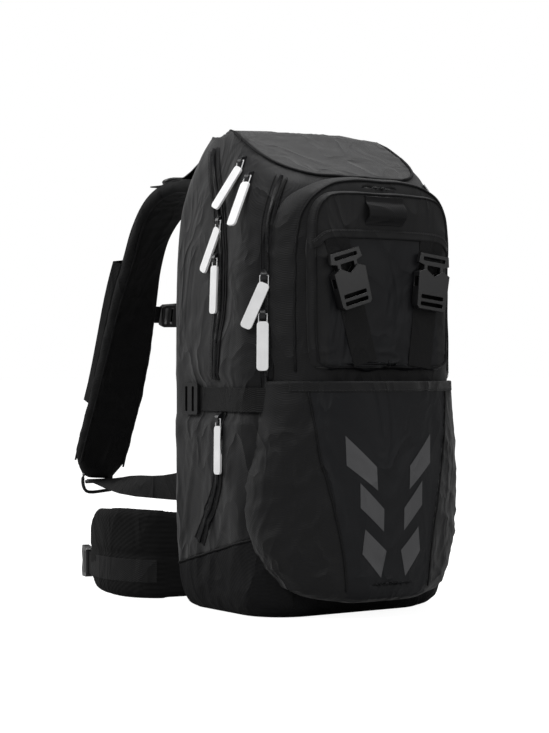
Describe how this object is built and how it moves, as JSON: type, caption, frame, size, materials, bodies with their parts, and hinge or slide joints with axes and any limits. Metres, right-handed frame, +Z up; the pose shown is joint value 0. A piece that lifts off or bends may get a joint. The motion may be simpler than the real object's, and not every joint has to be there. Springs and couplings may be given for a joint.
{
  "type": "avalanche airbag backpack",
  "caption": "Ski touring backpack with an airbag, zipped compartments, a lower outer pocket, shoulder straps, a sternum strap and a folding hip belt.",
  "frame": {"origin": "middle of the base, on the floor", "axes": "+Z up, -Y out of the front of the pack, +Y towards the wearer, -X the wearer's left"},
  "size_m": [0.3104, 0.4655, 0.52],
  "materials": {
    "body_cloth": "woven nylon",
    "front_cloth": "coated ripstop nylon",
    "base_cloth": "heavy woven nylon",
    "mesh_foam": "spacer mesh over foam",
    "webbing": "woven webbing",
    "black_plastic": "moulded acetal",
    "pull_rubber": "moulded soft rubber",
    "airbag_nylon": "coated nylon",
    "cylinder_paint": "satin paint",
    "alloy": "machined"
  },
  "bodies": {
    "pack": {"main_shell": "body_cloth", "base_panel": "base_cloth", "back_panel": "mesh_foam", "front_compartment": "front_cloth", "front_pocket": "front_cloth", "stash_pocket": "front_cloth", "frame_sheet": "black_plastic", "lumbar_pad": "mesh_foam", "back_pad": "mesh_foam", "airbag": "airbag_nylon", "valve_head": "alloy", "inflator": "black_plastic", "front_tab_left": "webbing", "front_buckle_male_left": "black_plastic", "front_tab_right": "webbing", "front_buckle_male_right": "black_plastic", "compression_webbing_left": "webbing", "compression_webbing_right": "webbing", "shoulder_strap_left": "mesh_foam", "lower_webbing_left": "webbing", "load_lifter_left": "webbing", "shoulder_strap_right": "mesh_foam", "lower_webbing_right": "webbing", "load_lifter_right": "webbing", "strap_sleeve": "body_cloth", "trigger_cable": "black_plastic", "sternum_webbing_left": "webbing", "sternum_buckle_female": "black_plastic", "tool_loop": "front_cloth"},
    "top_zip_upper_slider": {"top_zip_upper_slider": "black_plastic"},
    "top_zip_upper_pull": {"top_zip_upper_pull": "pull_rubber"},
    "top_zip_lower_slider": {"top_zip_lower_slider": "black_plastic"},
    "top_zip_lower_pull": {"top_zip_lower_pull": "pull_rubber"},
    "side_zip_upper_slider": {"side_zip_upper_slider": "black_plastic"},
    "side_zip_upper_pull": {"side_zip_upper_pull": "pull_rubber"},
    "side_zip_lower_slider": {"side_zip_lower_slider": "black_plastic"},
    "side_zip_lower_pull": {"side_zip_lower_pull": "pull_rubber"},
    "front_zip_upper_slider": {"front_zip_upper_slider": "black_plastic"},
    "front_zip_upper_pull": {"front_zip_upper_pull": "pull_rubber"},
    "front_zip_lower_slider": {"front_zip_lower_slider": "black_plastic"},
    "front_zip_lower_pull": {"front_zip_lower_pull": "pull_rubber"},
    "radio_zip_slider": {"radio_zip_slider": "black_plastic"},
    "radio_zip_pull": {"radio_zip_pull": "pull_rubber"},
    "front_buckle_left": {"front_buckle_female_left": "black_plastic", "front_webbing_left": "webbing"},
    "front_buckle_right": {"front_buckle_female_right": "black_plastic", "front_webbing_right": "webbing"},
    "sternum_release": {"sternum_buckle_male": "black_plastic", "sternum_webbing_right": "webbing"},
    "hip_wing_left": {"hip_wing_left": "mesh_foam", "hip_webbing_left": "webbing"},
    "hip_buckle_female": {"hip_buckle_female": "black_plastic"},
    "hip_wing_right": {"hip_wing_right": "mesh_foam", "hip_webbing_right": "webbing"},
    "hip_buckle_male": {"hip_buckle_male": "black_plastic"},
    "compression_lock_left": {"compression_lock_left": "black_plastic"},
    "compression_lock_right": {"compression_lock_right": "black_plastic"},
    "haul_loop": {"haul_loop": "webbing"},
    "trigger": {"trigger_handle": "pull_rubber"},
    "gas_cylinder": {"gas_cylinder": "cylinder_paint"}
  },
  "joints": [
    {"name": "top_zip_upper_slide", "type": "slide", "parent": "pack", "child": "top_zip_upper_slider", "axis": [0.361, 0.0656, 0.9302], "range_m": [0, 0.012]},
    {"name": "top_zip_upper_swing", "type": "hinge", "parent": "top_zip_upper_slider", "child": "top_zip_upper_pull", "pos_m": [-0.11099, -0.0308, 0.47176], "axis": [-0.1788, 0.9839, 0], "range_deg": [0, 80]},
    {"name": "top_zip_lower_slide", "type": "slide", "parent": "pack", "child": "top_zip_lower_slider", "axis": [-0.4152, -0.0733, -0.9067], "range_m": [0, 0.012]},
    {"name": "top_zip_lower_swing", "type": "hinge", "parent": "top_zip_lower_slider", "child": "top_zip_lower_pull", "pos_m": [-0.1151, -0.05076, 0.45402], "axis": [-0.1738, 0.9848, 0], "range_deg": [0, 80]},
    {"name": "side_zip_upper_slide", "type": "slide", "parent": "pack", "child": "side_zip_upper_slider", "axis": [0.1372, 0.0015, 0.9905], "range_m": [0, 0.02]},
    {"name": "side_zip_upper_swing", "type": "hinge", "parent": "side_zip_upper_slider", "child": "side_zip_upper_pull", "pos_m": [-0.12789, -0.01405, 0.40966], "axis": [-0.0111, 0.9999, 0], "range_deg": [0, 80]},
    {"name": "side_zip_lower_slide", "type": "slide", "parent": "pack", "child": "side_zip_lower_slider", "axis": [-0.0375, 0, -0.9993], "range_m": [0, 0.06]},
    {"name": "side_zip_lower_swing", "type": "hinge", "parent": "side_zip_lower_slider", "child": "side_zip_lower_pull", "pos_m": [-0.13232, -0.014, 0.37018], "axis": [0, 1, 0], "range_deg": [0, 80]},
    {"name": "front_zip_upper_slide", "type": "slide", "parent": "pack", "child": "front_zip_upper_slider", "axis": [0.0265, 0.0265, 0.9993], "range_m": [0, 0.02]},
    {"name": "front_zip_upper_swing", "type": "hinge", "parent": "front_zip_upper_slider", "child": "front_zip_upper_pull", "pos_m": [-0.11805, -0.08493, 0.35018], "axis": [-0.7071, 0.7071, 0], "range_deg": [0, 80]},
    {"name": "front_zip_lower_slide", "type": "slide", "parent": "pack", "child": "front_zip_lower_slider", "axis": [-0.0265, -0.0265, -0.9993], "range_m": [0, 0.022]},
    {"name": "front_zip_lower_swing", "type": "hinge", "parent": "front_zip_lower_slider", "child": "front_zip_lower_pull", "pos_m": [-0.11951, -0.08493, 0.31118], "axis": [-0.7071, 0.7071, 0], "range_deg": [0, 80]},
    {"name": "radio_zip_slide", "type": "slide", "parent": "pack", "child": "radio_zip_slider", "axis": [-0.01, 0, -1], "range_m": [0, 0.05]},
    {"name": "radio_zip_swing", "type": "hinge", "parent": "radio_zip_slider", "child": "radio_zip_pull", "pos_m": [-0.13591, -0.026, 0.20405], "axis": [0, 1, 0], "range_deg": [0, 80]},
    {"name": "front_buckle_release_left", "type": "slide", "parent": "pack", "child": "front_buckle_left", "axis": [0.2756, 0, -0.9613], "range_m": [0, 0.022]},
    {"name": "front_buckle_release_right", "type": "slide", "parent": "pack", "child": "front_buckle_right", "axis": [-0.1219, 0, -0.9925], "range_m": [0, 0.022]},
    {"name": "sternum_buckle_release", "type": "slide", "parent": "pack", "child": "sternum_release", "axis": [1, 0, 0], "range_m": [0, 0.022]},
    {"name": "hip_wing_fold_left", "type": "hinge", "parent": "pack", "child": "hip_wing_left", "pos_m": [-0.097, 0.081, 0.0525], "axis": [0, 0, -1], "range_deg": [-10, 25]},
    {"name": "hip_buckle_female_turn", "type": "hinge", "parent": "hip_wing_left", "child": "hip_buckle_female", "pos_m": [-0.13984, 0.24366, 0.034], "axis": [0, 0, 1], "range_deg": [-35, 35]},
    {"name": "hip_wing_fold_right", "type": "hinge", "parent": "pack", "child": "hip_wing_right", "pos_m": [0.097, 0.081, 0.0525], "axis": [0, 0, 1], "range_deg": [-10, 25]},
    {"name": "hip_buckle_male_turn", "type": "hinge", "parent": "hip_wing_right", "child": "hip_buckle_male", "pos_m": [0.13767, 0.2429, 0.034], "axis": [0, 0, 1], "range_deg": [-6, 35]},
    {"name": "compression_lock_left_tilt", "type": "hinge", "parent": "pack", "child": "compression_lock_left", "pos_m": [-0.13296, 0.046, 0.224], "axis": [0, 0, -1], "range_deg": [0, 35]},
    {"name": "compression_lock_right_tilt", "type": "hinge", "parent": "pack", "child": "compression_lock_right", "pos_m": [0.13296, 0.046, 0.224], "axis": [0, 0, 1], "range_deg": [0, 35]},
    {"name": "haul_loop_fold", "type": "hinge", "parent": "pack", "child": "haul_loop", "pos_m": [0, 0.0866, 0.4655], "axis": [-1, 0, 0], "range_deg": [0, 40]},
    {"name": "trigger_pull", "type": "slide", "parent": "pack", "child": "trigger", "axis": [-0.0541, 0.2828, -0.9577], "range_m": [0, 0.024]},
    {"name": "cylinder_removal", "type": "slide", "parent": "pack", "child": "gas_cylinder", "axis": [0, 0, -1], "range_m": [0, 0.03]}
  ]
}
